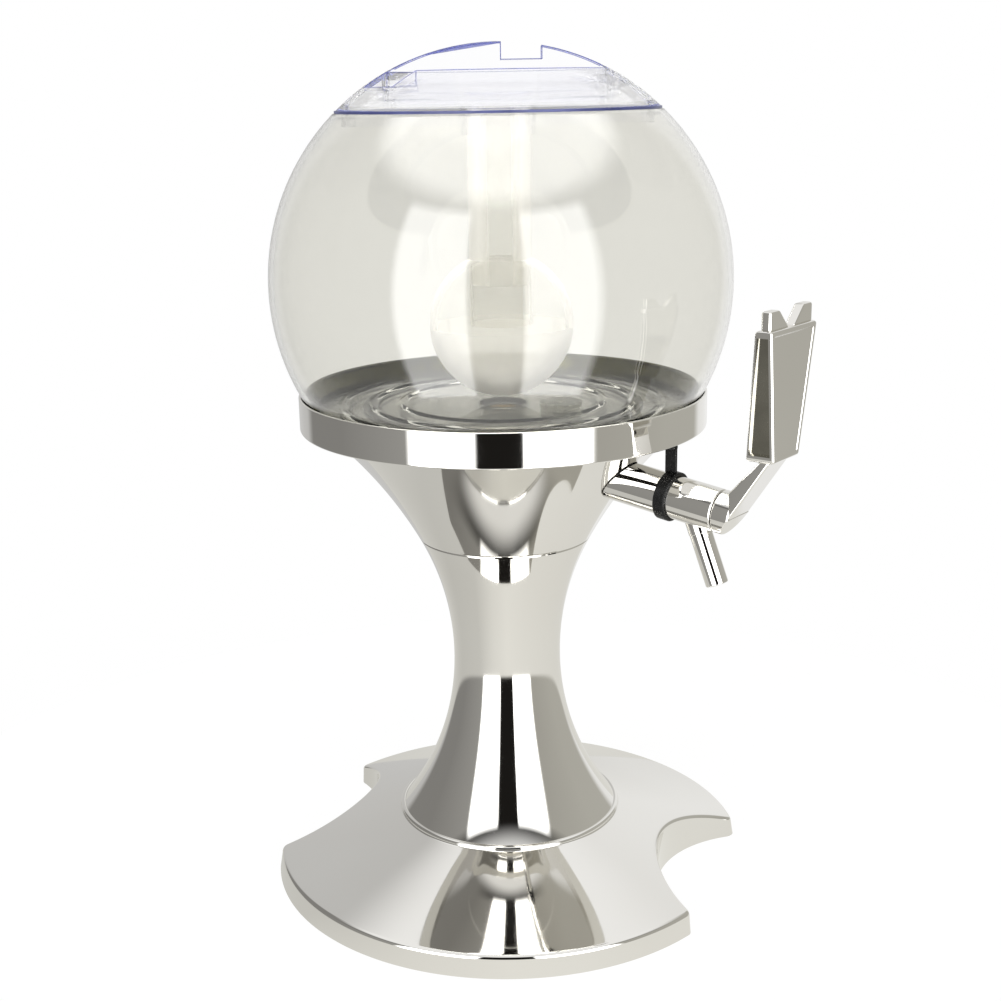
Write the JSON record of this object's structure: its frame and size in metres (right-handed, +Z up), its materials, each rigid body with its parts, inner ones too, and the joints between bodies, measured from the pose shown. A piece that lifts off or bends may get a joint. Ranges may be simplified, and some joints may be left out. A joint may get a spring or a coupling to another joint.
{
  "type": "draft beer tower",
  "caption": "Counter-top draft beer tower: clear globe in a plated collar on a trumpet pedestal, lever tap below the globe, round base with bites, lid with an ice core.",
  "frame": {"origin": "on the floor, on the axis of globe and pedestal", "axes": "+Z up the pedestal, -Y towards the tap, +X to the right of someone who faces the tap"},
  "size_m": [0.2306, 0.2624, 0.3926],
  "materials": {
    "plated": "bright plating on a moulding",
    "clear": "clear polished plastic",
    "frosted": "frosted translucent plastic",
    "clear_seal": "translucent soft seal",
    "white_plastic": "plain moulded",
    "dark_plastic": "plain moulded",
    "rubber": "plain",
    "strap": "nylon strap",
    "steel": "bright zinc",
    "brass": "turned",
    "ballast": "as cast"
  },
  "bodies": {
    "stand": {"base_cover": "plated", "base_plate": "dark_plastic", "ballast_ring": "ballast", "base_feet": "rubber", "base_screws": "steel", "lower_column": "plated", "funnel": "plated", "tie_rod": "steel", "rod_washer": "steel", "rod_nut": "steel", "collar_ring": "plated", "dish_tray": "plated", "globe_gasket": "rubber", "globe": "clear", "rod_insert": "brass", "drain_fitting": "white_plastic", "drain_gasket": "rubber", "drain_nut": "white_plastic", "drain_elbow": "white_plastic", "tap_body": "plated", "tap_gasket": "rubber", "tap_washer": "steel", "tap_nut": "white_plastic", "spout": "plated", "tap_strap": "strap"},
    "handle": {"valve_plug": "white_plastic", "plug_seals": "rubber", "handle_lever": "plated", "handle_paddle": "plated"},
    "lid": {"lid": "clear", "lid_seal": "clear_seal", "ice_tube": "frosted", "ice_ball": "frosted", "ice_seal": "clear_seal"}
  },
  "joints": [
    {"name": "handle_turn", "type": "hinge", "parent": "stand", "child": "handle", "pos_m": [0, -0.06486, 0.20358], "axis": [0, -0.9925, -0.1219], "range_deg": [0, 90]},
    {"name": "lid_lift", "type": "slide", "parent": "stand", "child": "lid", "axis": [0, 0, 1], "range_m": [0, 0.16]}
  ]
}
